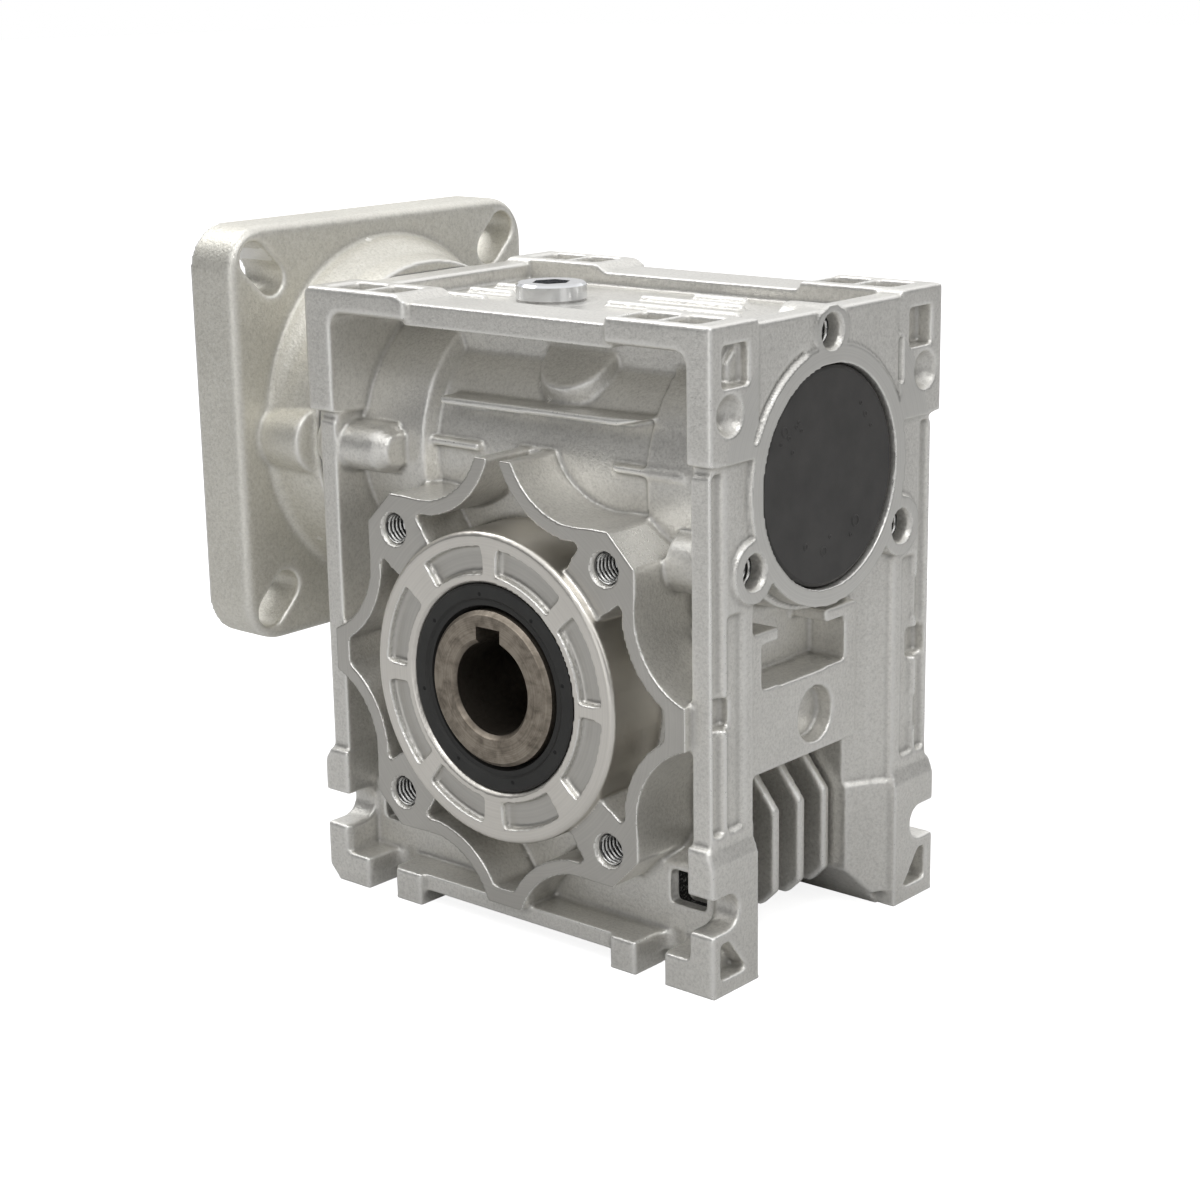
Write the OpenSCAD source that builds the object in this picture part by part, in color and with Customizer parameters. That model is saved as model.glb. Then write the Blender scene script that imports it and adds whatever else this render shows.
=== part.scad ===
// Right-angle worm gear reducer with hollow output shaft and square motor flange.
// Frame: +Z up, origin on the output shaft axis at mid width.
// The output axis runs along Y, the worm axis along X above it.

/* [Gearing] */
// Centre distance between the worm axis and the output axis
centre_d = 40; // [40:0.05:40.1]
// Module of worm and wheel
gear_m = 2; // [1.95:0.05:2]
// Number of teeth on the wheel
wheel_z = 30; // [29:1:30]
// Width of the wheel teeth
wheel_w = 18; // [14:1:18]
// Total play between worm thread and wheel teeth
backlash = 0.36; // [0.3:0.01:0.5]

/* [Output] */
// Diameter of the hollow output shaft bore
out_bore_d = 18; // [14:1:18]
// Width of the keyway in the output bore
out_key_w = 6; // [4:1:6]
// Total width over the hollow shaft
out_w = 78; // [77:1:79]
// Bolt circle of the side faces
pcd = 75; // [74:0.5:76]
// Minor diameter of the tapped holes on the side faces
tap_d = 5; // [4.2:0.1:5.2]

/* [Housing] */
// Half length of the housing along the worm
half_l = 50; // [50:0.5:51]
// Half width over the feet and corner blocks
half_w = 35.5; // [35.5:0.1:35.7]
// Height of the housing top above the output axis
top_z = 71.5; // [71.5:0.5:72.5]
// Depth of the foot face below the output axis
base_z = 50; // [50:0.5:51]
// Half spacing of the foot slots along the worm
foot_x = 35; // [34:0.5:36]
// Half spacing of the foot slots across
foot_y = 30; // [29.5:0.25:30.25]
// Width of the foot slots
foot_slot = 6.5; // [6:0.1:7]
// Half width over the machined side faces
pad_y = 36.5; // [36.3:0.1:36.5]

/* [Motor flange] */
// Side of the square flange
flange_side = 84; // [83:1:86]
// Thickness of the square plate
flange_t = 12; // [11:0.5:12]
// Bolt circle of the four slots
flange_pcd = 95; // [93:0.5:97]
// Width of the slots
flange_slot_w = 6.8; // [6.2:0.1:7.2]
// Length of the slots
flange_slot_l = 12.6; // [11:0.1:13.4]
// Diameter of the motor pilot recess
pilot_d = 70; // [68:1:73]
// Diameter of the worm's motor bore
in_bore_d = 14; // [11:1:14]

/* [Hidden] */
$fn = 64;
eps = 0.01;
wz = centre_d;                     // height of the worm axis
hub_y = out_w / 2;                 // hub face
ring_y = 38.7;                     // face of the spigot ring
core_r = 37;                       // outside of the wheel case
case_r = 33.6;                     // inside of the wheel case
wall_y = 20;                       // outer face of the side plates
frame_y = 22;                      // inner face of the rails, blocks and feet
floor_y = 27;                      // face of the low wall behind the feet
rail_y = 34.2;                     // face of the side rails
pitch_r = gear_m * wheel_z / 2;    // pitch radius of the wheel
worm_r = centre_d - pitch_r;       // pitch radius of the worm
lead_a = atan(gear_m / 2 / worm_r);
fl_x = -63.2;                      // front face of the square plate
gap_x = -50.5;                     // joint face of the housing towards the flange
gasket_t = 0.4;                    // thickness of the flange gasket

// ---------- helpers ----------
module box(x0, x1, y0, y1, z0, z1)
    translate([x0, y0, z0]) cube([x1 - x0, y1 - y0, z1 - z0]);
// profile in X and Z, extruded from y0 to y1
module xz(y0, y1) translate([0, y1, 0]) rotate([90, 0, 0]) linear_extrude(y1 - y0) children();
// profile in Y and Z, extruded from x0 to x1
module yz(x0, x1) translate([x0, 0, 0]) rotate([90, 0, 90]) linear_extrude(x1 - x0) children();
module ycyl(r, y0, y1, x = 0, z = 0) translate([x, y1, z]) rotate([90, 0, 0]) cylinder(r = r, h = y1 - y0);
module ycone(r0, r1, y0, y1, x = 0, z = 0) translate([x, y0, z]) rotate([-90, 0, 0]) cylinder(r1 = r0, r2 = r1, h = y1 - y0);
module xcyl(r, x0, x1, y = 0, z = 0) translate([x0, y, z]) rotate([0, 90, 0]) cylinder(r = r, h = x1 - x0);
module xcone(r0, r1, x0, x1, y = 0, z = 0) translate([x0, y, z]) rotate([0, 90, 0]) cylinder(r1 = r0, r2 = r1, h = x1 - x0);
// half profile (radius, position) turned about the output axis
module turn_y() rotate([-90, 0, 0]) rotate_extrude() children();
// half profile (radius, position) turned about the worm axis
module turn_x() translate([0, 0, wz]) rotate([0, 90, 0]) rotate_extrude() children();
module pt(a, r) translate([r * cos(a), r * sin(a)]) children();
module both() { children(); mirror([0, 1, 0]) children(); }
// closed slot of a given overall length along x
module slot2d(l, w) union() {
    square([l - w, w], center = true);
    for (s = [-1, 1]) translate([s * (l - w) / 2, 0]) circle(d = w);
}
// sector of a disc from angle a0 to a1
module sector(a0, a1, r) polygon(concat([[0, 0]], [for (i = [0:6]) let (a = a0 + (a1 - a0) * i / 6) [r * cos(a), r * sin(a)] / cos((a1 - a0) / 12)]));
module arc_band(a0, a1, r0, r1) intersection() {
    difference() { circle(r = r1, $fn = 96); circle(r = r0, $fn = 96); }
    sector(a0, a1, r1 * 1.1);
}

// ---------- star pad on the side faces ----------
sc_r = 53.2;      // distance of the scallop centres
sc_q = 16.2;      // radius of the scallops
band = 3;         // width of the machined band
module scallops(r) for (k = [0:3], s = [-1, 1]) pt(45 + 90 * k + s * 23.5, sc_r) circle(r = r);
module star2d(x_l = -44, x_r = 44.6) difference() {
    union() {
        intersection() {
            square(67.2, center = true);
            rotate(45) square(86, center = true);
        }
        translate([x_l, -16]) square([x_r - x_l, 32]);
        translate([-16, -44]) square([32, 87.2]);
    }
    scallops(sc_q);
}
module pockets2d() difference() {
    union() {
        difference() {
            intersection() { circle(r = 40.5); translate([-40.2, -41]) square([80, 82]); }
            circle(r = 30, $fn = 96);
        }
        translate([-3.2, 38]) square([6.2, 10]);
    }
    scallops(sc_q + band);
    for (k = [0:3]) rotate(45 + 90 * k) sector(-10.6, 10.6, 60);
}

// ---------- housing ----------
module side_frame() {
    y = half_w;
    // left and right rails with a shallow ridge along the outer face
    xz(-rail_y, -frame_y) difference() {
        translate([-48.4, -47.2]) square([97.4, 117.2]);
        translate([-43.9, -43.6]) square([88.1, 110]);
    }
    // upper corner blocks around an opening with rounded corners
    xz(-y, -frame_y) difference() {
        union() {
            polygon([[-half_l, 47], [-half_l, top_z - 1], [-half_l + 1, top_z], [-25, top_z], [-22.6, 70.2], [-22.6, 60], [-42, 60], [-42, 47]]);
            polygon([[half_l, 47], [half_l, top_z], [26.2, top_z], [26.2, 60], [42, 60], [42, 47]]);
        }
        translate([-43.2, 40]) square([87.6, 23.8]);
        translate([-40.2, 40]) square([81.6, 26.8]);
        for (x = [-40.2, 41.4]) translate([x, 63.8]) circle(r = 3);
    }
    // feet
    xz(-y, -frame_y) {
        polygon([[-half_l, -base_z + 2.6], [-half_l + 2.6, -base_z], [-38.4, -base_z], [-38.4, -43.6], [-44.4, -43.6], [-44.4, -37], [-43.4, -31], [-43.4, -22], [-48.4, -22], [-half_l, -24.4]]);
        translate([-30.8, -base_z]) square([7, base_z - 43.6]);
        translate([25.4, -base_z]) square([6.2, base_z - 43.6]);
        polygon([[half_l, -base_z], [38.4, -base_z], [38.4, -43.6], [44.4, -43.6], [44.4, -37], [44, -31], [44, -22], [48.8, -22], [half_l, -25]]);
    }
    // foot plate behind the slots
    box(-46, 46, -26.4, -wall_y + 1, -base_z, -43.6);
    // side plate, and the low wall with a sloped top behind the feet
    box(-46, 46, -wall_y, -18.2, -46, 40);
    box(-43.5, 43.5, -19, -16, -45.6, 38);
    yz(-45.5, 45.5) polygon([[-19, -46.4], [-floor_y, -46.4], [-floor_y, -30], [-19, -24.6]]);
    for (s = [-1, 1]) box(s > 0 ? 44.8 : -46.2, s > 0 ? 46.2 : -44.8, -23, -19, -45, 50);
}
module frame_cuts() {
    y = half_w;
    for (s = [-1, 1]) {
        // foot slots, open to the side
        translate([s * foot_x, -foot_y, -base_z - 1]) linear_extrude(8.4) {
            circle(d = foot_slot);
            translate([-foot_slot / 2, -10]) square([foot_slot, 10]);
        }
        // notches in the end faces of the feet
        yz(s > 0 ? 43 : -51, s > 0 ? 51 : -43) {
            translate([-31, -34.5]) circle(r = 3.4);
            translate([-40, -37.9]) square([9, 6.8]);
        }
        // round dimples and square pockets in the corner blocks
        translate([s * 51.4, -30, 55.6]) sphere(r = 4);
        // undercut below the corner blocks
        xz(-36, -33.6) polygon([[s * 42, 47.2], [s * 51, 47.2], [s * 51, 45.4], [s * 42, 44.8]]);
        yz(s > 0 ? 47.6 : -51, s > 0 ? 51 : -47.6) translate([-32, 60.4]) square(7.3);
        yz(s > 0 ? 46.4 : -51, s > 0 ? 51 : -46.4) polygon([[-32, 60.4], [-28, 60.4], [-28, 64], [-24.7, 67.7], [-32, 67.7]]);
        // triangular pockets under the notches
        yz(s > 0 ? 46 : -51, s > 0 ? 51 : -46) polygon([[-33, -40.2], [-30.5, -40.2], [-25.2, -47], [-33, -47]]);
        // pockets in the top pads
        for (k = [0, 1]) box(s > 0 ? 27 + 9.6 * k : -36 - 9.6 * k, s > 0 ? 35.8 + 9.6 * k : -27.2 - 9.6 * k, -33.2, -25, top_z - 2.6, top_z + 1);
    }
    // lengthwise grooves and small pocket on the right rail
    box(47.6, 50, -33.4, -30.5, -20, 45.6);
    box(47.9, 50, -29.5, -25, -20, 20);
    box(45.8, 50, -33.4, -28, -0.6, 5);
}
module cap_end() {
    // end wall between the corner blocks, with the rim around the cap
    box(44.2, 49.6, -23, 23, 47, 70.6);
    xcyl(25.2, 27, 45.6, 0, wz);
    xcyl(23.9, 40, half_l, 0, wz);
    for (a = [90, 210, 330]) xcyl(a == 90 ? 4.8 : 5.8, a == 90 ? 40 : 34, half_l, 26.5 * cos(a), wz + 26.5 * sin(a));
    for (a = [90, 210, 330]) translate([40, 0, wz]) rotate([a, 0, 0]) box(0, 10, 22, 26.5, -3, 3);
}
module web(sx) mirror([sx, 0, 0]) {
    // cross web with a shallow round hollow and an open pocket
    difference() {
        box(30, 46, -frame_y, 14.3, -13.3, 13.6);
        box(37.6, 47, -15.4, 10.3, 2.7, 11.2);
        box(37.6, 47, -10.4, 4.1, 2.5, 14);
        translate([42.2, 1, -5.8]) rotate([0, 90, 0]) cylinder(r = 5.4, h = 5);
    }
    box(30, 37.8, -16.5, 13, 13, 22);
    // thick end wall on the cover side
    translate([0, 0, -46.6]) linear_extrude(81.6) polygon([[28, 13.9], [43, 13.9], [48.2, 22.5], [28, 22.5]]);
    translate([0, 0, -47]) linear_extrude(23) polygon([[28, 13.9], [44, 13.9], [49.2, 22.5], [28, 22.5]]);
    // cooling fins
    for (y = [-12, -4, 4, 12]) xz(y - 1.1, y + 1.1)
        polygon([[20, -13], [31.4, -13], [40.8, -24.8], [40.8, -41], [37.6, -44.2], [8, -44.2], [8, -30]]);
}
module housing_body() {
    // wheel case and worm tube
    ycyl(core_r, -23, 23);
    xcyl(27, -47, -27.4, 0, wz);
    xcone(27, 24, -27.4, -25.8, 0, wz);
    xcyl(24, -26, 28, 0, wz);
    box(-26, 26, -19, 19, 20, 40);
    // box above the tube and the recessed top
    box(-44, 46, -15.5, 15.5, 46, 67);
    box(-44, 46, -24, 24, 65.2, 67);
    both() {
        box(-24, 27, -rail_y, -23, 65.6, 68.6);
        box(-24, 27, -rail_y, -31.6, 68, 70);
        box(-24, 27, -28.3, -26, 68, 69.8);
    }
    translate([-17.3, 0, 58]) cylinder(r = 9.5, h = 9.2);
    // low ridges on the recessed top
    for (r = [[-39.5, -27.5, -7.9], [-39.5, -27.5, 0.1], [-39.5, -27.5, 8.1], [-3, 29, 0], [-2, 23, 9], [5, 18, 16.6]])
        box(r[0], r[1], r[2] - 0.8, r[2] + 0.8, 66, 68.3);
    // slanted boss on the shoulder of the tube
    translate([4.4, 0, wz]) rotate([40, 0, 0]) translate([0, 0, 19]) cylinder(r1 = 11, r2 = 8, h = 7.4);
    // end wall and joint face at the motor side
    box(-49.6, -43.2, -23, 23, 47, 70.6);
    xcyl(32.6, gap_x, -44.5, 0, wz);
    for (a = [0, 180, 270]) translate([0, 28.8 * cos(a), wz + 28.8 * sin(a)]) {
        xcyl(4.8, gap_x, -35);
        translate([-35, 0, 0]) rotate([0, 90, 0]) cylinder(r1 = 4.8, r2 = 3.2, h = 3.2);
    }
    both() box(gap_x + 0.6, -33.4, -28.8, -20, wz - 4.8, wz + 4.8);
    cap_end();
    web(0);
    web(1);
    both() side_frame();
    // front star with spigot ring, back star that carries the cover
    xz(-pad_y, -wall_y + 1) star2d();
    ycyl(30, 0.6 - ring_y, -wall_y);
    ycone(29.3, 30, -ring_y, 0.6 - ring_y);
    xz(wall_y - 1, 28.5) star2d();
    for (a = [0, 180, 270]) ycyl(5, 17.6, 23, 37.3 * cos(a), 37.3 * sin(a));
    // ribs on the worm tube
    both() {
        xz(-26.4, -18) polygon([[-23, 49.8], [-23, 51.3], [27.4, 51.8], [21, 50.1]]);
        box(-28, -14, -25.6, -20, 41.4, 42.8);
        box(19, 36, -25.6, -20, 41.4, 42.8);
    }
}
module arcs2d() for (a = [[3, 40], [49, 85], [93, 127], [142, 178], [186, 224], [232, 264], [275, 308], [320, 357]]) arc_band(a[0], a[1], 21.9, 27.2);
module star_holes(y0, y1) for (a = [45:90:315]) {
    ycyl(tap_d / 2, y0, y1, pcd / 2 * cos(a), pcd / 2 * sin(a));
}
module housing() color([0.74, 0.74, 0.73]) difference() {
    housing_body();
    // wheel chamber, open to the back
    ycyl(case_r, -12.5, 29.5);
    ycyl(23, -17.2, 0);
    ycyl(27.5, -30.2, -17);
    ycyl(20, -40, -30);
    ycone(21, 20, -38.8, -37.8);
    // worm chamber
    turn_x() polygon([[0, -52], [23.5, -52], [23.5, -31], [19.5, -31], [19.5, -28], [16.6, -27], [16.6, 26], [17, 29], [20, 29], [20, 42], [21.3, 42], [21.3, 43.9], [20.65, 43.9], [20.65, 52], [0, 52]]);
    // pockets and arc recesses of the front star
    xz(-40, -24.6) pockets2d();
    xz(-40, -ring_y + 1.6) arcs2d();
    // tapped holes
    star_holes(-37, -pad_y + 9.5);
    for (a = [45:90:315]) ycone(3.3, tap_d / 2, -pad_y - 0.05, -pad_y + 0.8, pcd / 2 * cos(a), pcd / 2 * sin(a));
    for (a = [0:90:270]) ycyl(2.1, 19.5, 29, 37.3 * cos(a), 37.3 * sin(a));
    for (a = [90, 210, 330]) {
        xcyl(2.5, 38, 51, 26.5 * cos(a), wz + 26.5 * sin(a));
        xcone(2.5, 3.4, 49.1, 50.05, 26.5 * cos(a), wz + 26.5 * sin(a));
    }
    for (a = [0, 180, 270]) xcyl(2.1, -51, -38, 28.8 * cos(a), wz + 28.8 * sin(a));
    box(-52, -24, -22, 22, 70.6, 80);
    // plug hole
    translate([-17.3, 0, 50]) cylinder(r = 4.2, h = 20);
    both() frame_cuts();
    // windows in the low wall of the front, sloped foot of the end wall on the cover side
    for (s = [-1, 1]) {
        box(s > 0 ? 33.4 : -41.6, s > 0 ? 41.6 : -33.4, -28, -14, -37.8, -31.2);
        yz(s > 0 ? 31 : -44, s > 0 ? 44 : -31) polygon([[-24.2, -40.4], [-24.2, -30.8], [-19, -27.4], [-14, -27.4], [-14, -40.4]]);
    }
    yz(-49.6, 49.6) polygon([[13.4, -40.8], [21.6, -50], [21.6, -52], [13.4, -52]]);
    // shallow pockets in the rail of the cover side
    for (z = [-15, 7]) box(48.2, 50, 25.2, 30.4, z, z + (z > 0 ? 8.6 : 6.6));
    // arc groove and line on the cap end
    yz(48.8, 51) translate([0, wz]) arc_band(108, 158, 24.3, 25.4);
    box(49, 51, 21.6, 22.8, 54, 63);
}

// ---------- back cover ----------
module output_cover() color([0.74, 0.74, 0.73]) difference() {
    union() {
        xz(28.5, pad_y) intersection() { star2d(-43.4, 43.4); translate([-60, -43.4]) square([120, 85.4]); }
        ycyl(30, 28.5, ring_y - 0.6);
        ycone(30, 29.3, ring_y - 0.6, ring_y);
        ycyl(case_r - 0.05, 19, 28.6);
    }
    // bearing seat, seal seat and the o-ring groove
    ycyl(23, 10, 20);
    ycyl(27.5, 17, 30.2);
    ycyl(20, 30, 40);
    ycone(20, 21, 37.8, 38.8);
    turn_y() translate([case_r - 2, 23.4]) square([3, 2.6]);
    difference() {
        xz(31, 40) pockets2d();
        for (a = [0:90:270]) ycyl(6.4, 28, 40, 37.3 * cos(a), 37.3 * sin(a));
    }
    xz(ring_y - 1.6, 40) arcs2d();
    star_holes(27, 40);
    for (a = [45:90:315]) ycone(tap_d / 2, 3.3, pad_y - 0.8, pad_y + 0.05, pcd / 2 * cos(a), pcd / 2 * sin(a));
    for (a = [0:90:270]) {
        ycyl(2.7, 28, 40, 37.3 * cos(a), 37.3 * sin(a));
        ycyl(4.5, 31.6, 40, 37.3 * cos(a), 37.3 * sin(a));
    }
}
module cover_o_ring() color([0.1, 0.1, 0.1]) turn_y() translate([case_r - 1.02, 24.7]) circle(r = 0.95, $fn = 24);
// hexagon socket cap screw pointing along -z, head seat at z = 0
module cap_screw(d, l, head) difference() {
    union() {
        translate([0, 0, -l]) cylinder(d = d, h = l + eps, $fn = 32);
        cylinder(d = head, h = d - 0.6, $fn = 48);
        translate([0, 0, d - 0.6]) cylinder(d1 = head, d2 = head - 1, h = 0.5, $fn = 48);
    }
    translate([0, 0, d * 0.42]) cylinder(d = d * 0.92, h = d, $fn = 6);
}
module cover_screws() color([0.35, 0.35, 0.37]) for (a = [0:90:270])
    translate([37.3 * cos(a), 31.6, 37.3 * sin(a)]) rotate([-90, 0, 0]) cap_screw(4.2, 10.6, 7.8);

// ---------- motor flange ----------
module rsquare(s, r) union() {
    square([s - 2 * r, s], center = true);
    square([s, s - 2 * r], center = true);
    for (x = [-1, 1], y = [-1, 1]) translate([x * (s / 2 - r), y * (s / 2 - r)]) circle(r = r);
}
module motor_flange() color([0.76, 0.75, 0.70]) difference() {
    union() {
        // square plate with softened edges
        translate([0, 0, wz]) {
            yz(fl_x - flange_t, fl_x - 1) rsquare(flange_side, 9);
            yz(fl_x - 1.2, fl_x - 0.4) rsquare(flange_side - 1, 8.6);
            yz(fl_x - 0.5, fl_x) rsquare(flange_side - 2.4, 8);
        }
        // bell between plate and housing
        turn_x() polygon([[20, fl_x - 2], [35, fl_x - 2], [35, fl_x + 0.6], [34.3, fl_x + 1.8], [33.6, gap_x - 6], [32.8, gap_x - 0.9], [32.6, gap_x - gasket_t], [20, gap_x - gasket_t]]);
        // higher crown of the bell towards the plate
        translate([0, 0, 2.6]) turn_x() polygon([[26, fl_x - 2], [34.4, fl_x - 2], [34.2, fl_x + 1.4], [32.6, fl_x + 4.6], [30.2, fl_x + 7.6], [26, fl_x + 7.6]]);
        for (a = [0, 180, 270]) xcyl(6.6, fl_x - 2, gap_x - 1.5, 30.6 * cos(a), wz + 30.6 * sin(a));
        // spigot into the housing
        xcyl(23.45, gap_x - 1, gap_x + 0.6, 0, wz);
    }
    // pilot, inner chamber and shaft opening
    xcyl(pilot_d / 2, fl_x - flange_t - 1, fl_x - flange_t + 4.5, 0, wz);
    xcyl(25, fl_x - flange_t, gap_x - 3.5, 0, wz);
    xcyl(20.5, gap_x - 10, gap_x + 2, 0, wz);
    // slots on the bolt circle
    translate([0, 0, wz]) yz(fl_x - flange_t - 1, fl_x + 3)
        for (a = [45:90:315]) pt(a, flange_pcd / 2) rotate(a) slot2d(flange_slot_l, flange_slot_w);
    // screw holes with counterbores from the motor side
    for (a = [0, 180, 270]) {
        xcyl(2.2, fl_x - flange_t - 1, gap_x + 1, 28.8 * cos(a), wz + 28.8 * sin(a));
        xcyl(4.2, fl_x - flange_t - 1, gap_x - 5, 28.8 * cos(a), wz + 28.8 * sin(a));
    }
}
module flange_gasket() color([0.15, 0.15, 0.15]) difference() {
    xcyl(32.2, gap_x - gasket_t, gap_x, 0, wz);
    xcyl(24.2, gap_x - 5, gap_x + 5, 0, wz);
    box(-52, -50, -40, 40, 70.6, 80);
    for (a = [0, 180, 270]) xcyl(2.4, gap_x - 5, gap_x + 5, 28.8 * cos(a), wz + 28.8 * sin(a));
}
module flange_screws() color([0.35, 0.35, 0.37]) for (a = [0, 180, 270])
    translate([gap_x - 5, 28.8 * cos(a), wz + 28.8 * sin(a)]) rotate([0, -90, 0]) cap_screw(4.2, 16, 7.8);

// ---------- worm shaft ----------
worm_l = 34;
worm_tip = worm_r + gear_m;
worm_root = worm_r - 1.2 * gear_m;
lead = PI * gear_m;
turns = worm_l / lead;
seg = 30;
thr = lead / 4 - backlash / 4;       // half thickness at the pitch line
function wp(i) = let (a = 360 * i / seg, x = -worm_l / 2 + lead * i / seg,
    e = min(1, min(i, turns * seg - i) / 8),
    h0 = thr + (worm_r - worm_root + 0.4) * tan(20), h1 = thr - gear_m * tan(20),
    rt = worm_root + 0.1 + (worm_tip - worm_root - 0.1) * e, hf = thr - (rt - worm_r) * tan(20))
    [[x - h0, worm_root - 0.4, a], [x - hf, rt, a], [x + hf, rt, a], [x + h0, worm_root - 0.4, a]];
function wxyz(p, a0) = [p[0], p[1] * cos(p[2] + a0), p[1] * sin(p[2] + a0)];
module thread() {
    n = floor(turns * seg);
    // the thread's crest stands at x = 0 on the wheel side
    pts = [for (i = [0:n]) for (p = wp(i)) wxyz(p, -360 * (worm_l / 2) / lead - 90)];
    faces = concat(
        [[3, 2, 1, 0]], [[4 * n, 4 * n + 1, 4 * n + 2, 4 * n + 3]],
        [for (i = [0:n - 1], j = [0:3]) let (k = (j + 1) % 4) [4 * i + j, 4 * i + k, 4 * (i + 1) + j]],
        [for (i = [0:n - 1], j = [0:3]) let (k = (j + 1) % 4) [4 * i + k, 4 * (i + 1) + k, 4 * (i + 1) + j]]);
    polyhedron(pts, faces, convexity = 10);
}
module worm_shaft() color([0.55, 0.55, 0.57]) difference() {
    union() {
        turn_x() polygon([[0, -58], [12, -58], [12.5, -57.5], [12.5, -31], [14.6, -31], [14.6, -27.6], [11, -26], [11, -20.6], [worm_root, -19],
            [worm_root, 19], [8.4, 20.6], [10.4, 23], [10.4, 29], [8.5, 29], [8.5, 41.1], [8.1, 41.1], [8.1, 42.3], [8.5, 42.3], [8.5, 43], [8, 43.5], [0, 43.5]]);
        translate([0, 0, wz]) thread();
    }
    xcyl(in_bore_d / 2, -59, -25, 0, wz);
    box(-59, -27, -2.5, 2.5, wz, wz + in_bore_d / 2 + 2.3);
}

// ---------- ball bearings ----------
// rings and balls of a deep groove bearing on the z axis
module ring_outer(R, r, w) rotate_extrude() difference() {
    translate([R - (R - r) * 0.3, -w / 2]) square([(R - r) * 0.3, w]);
    translate([(R + r) / 2, 0]) circle(r = (R - r) * 0.3);
}
module ring_inner(R, r, w) rotate_extrude() difference() {
    translate([r, -w / 2]) square([(R - r) * 0.3, w]);
    translate([(R + r) / 2, 0]) circle(r = (R - r) * 0.3);
}
module ball_cage(R, r, n) {
    m = (R + r) / 2;
    d = (R - r) * 0.3 - 0.06;
    difference() {
        rotate_extrude() translate([m - 0.7, -d - 0.6]) square([1.4, d * 2 + 1.2]);
        for (i = [0:n - 1]) rotate(360 * i / n) translate([m, 0, 0]) rotate([0, 90, 0]) cylinder(r = d + 0.05, h = 6, center = true);
    }
}
module ball_set(R, r, n) {
    m = (R + r) / 2;
    d = (R - r) * 0.3 - 0.06;
    for (i = [0:n - 1]) rotate(360 * i / n) translate([m, 0, 0]) sphere(r = d, $fn = 32);
}
module on_worm(x) translate([x, 0, wz]) rotate([0, 90, 0]) children();
module on_out(y) translate([0, y, 0]) rotate([90, 0, 0]) children();
steel = [0.72, 0.73, 0.75];
module input_bearing_outer() color(steel) on_worm(-37) ring_outer(23.5, 12.5, 12);
module input_bearing_inner() color(steel) on_worm(-37) ring_inner(23.5, 12.5, 12);
module input_bearing_balls() color(steel) on_worm(-37) ball_set(23.5, 12.5, 10);
module input_bearing_cage() color([0.6, 0.6, 0.6]) on_worm(-37) ball_cage(23.5, 12.5, 10);
module rear_bearing_outer() color(steel) on_worm(35) ring_outer(20, 8.5, 12);
module rear_bearing_inner() color(steel) on_worm(35) ring_inner(20, 8.5, 12);
module rear_bearing_balls() color(steel) on_worm(35) ball_set(20, 8.5, 8);
module rear_bearing_cage() color([0.6, 0.6, 0.6]) on_worm(35) ball_cage(20, 8.5, 8);
module front_bearing_outer() color(steel) on_out(-23.5) ring_outer(27.5, 15, 13);
module front_bearing_inner() color(steel) on_out(-23.5) ring_inner(27.5, 15, 13);
module front_bearing_balls() color(steel) on_out(-23.5) ball_set(27.5, 15, 11);
module front_bearing_cage() color([0.6, 0.6, 0.6]) on_out(-23.5) ball_cage(27.5, 15, 11);
module back_bearing_outer() color(steel) on_out(23.5) ring_outer(27.5, 15, 13);
module back_bearing_inner() color(steel) on_out(23.5) ring_inner(27.5, 15, 13);
module back_bearing_balls() color(steel) on_out(23.5) ball_set(27.5, 15, 11);
module back_bearing_cage() color([0.6, 0.6, 0.6]) on_out(23.5) ball_cage(27.5, 15, 11);

// ---------- rings, seals and cap ----------
module worm_circlip() color([0.3, 0.3, 0.32]) on_worm(41.7) linear_extrude(1, center = true) difference() {
    union() { circle(r = 10.6); translate([8, -2.6]) square([5, 5.2]); }
    circle(r = 8.15);
    translate([6, -0.8]) square([8, 1.6]);
}
module bore_circlip() color([0.3, 0.3, 0.32]) on_worm(42.95) linear_extrude(1.7, center = true) difference() {
    circle(r = 21.25);
    circle(r = 18.2);
    translate([14, -4]) square([8, 8]);
}
module end_cap() color([0.09, 0.09, 0.1]) turn_x() polygon([[0, 46.6], [17.6, 46.6], [17.6, 44], [20.6, 44], [20.6, 48], [20.2, 48.9], [19.5, 49.3], [0, 49.3]]);
module input_seal() color([0.2, 0.2, 0.21]) turn_x() polygon([[12.52, -48.4], [13.6, -49.8], [23.5, -49.8], [23.5, -43.2], [22, -43.2], [22, -48.6], [15, -48.6], [14, -45.6], [12.7, -46.4]]);
module out_seal2d() polygon([[15.03, 35.2], [15.6, 33.4], [16.6, 33.4], [17, 36.2], [18.6, 36.2], [18.6, 31.4], [20, 31.4], [20, 38.1], [19.6, 38.3], [17.4, 38.3], [16.9, 37.9], [15.9, 37.9]]);
module back_seal() color([0.16, 0.17, 0.18]) turn_y() out_seal2d();
module front_seal() color([0.16, 0.17, 0.18]) mirror([0, 1, 0]) turn_y() out_seal2d();

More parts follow.
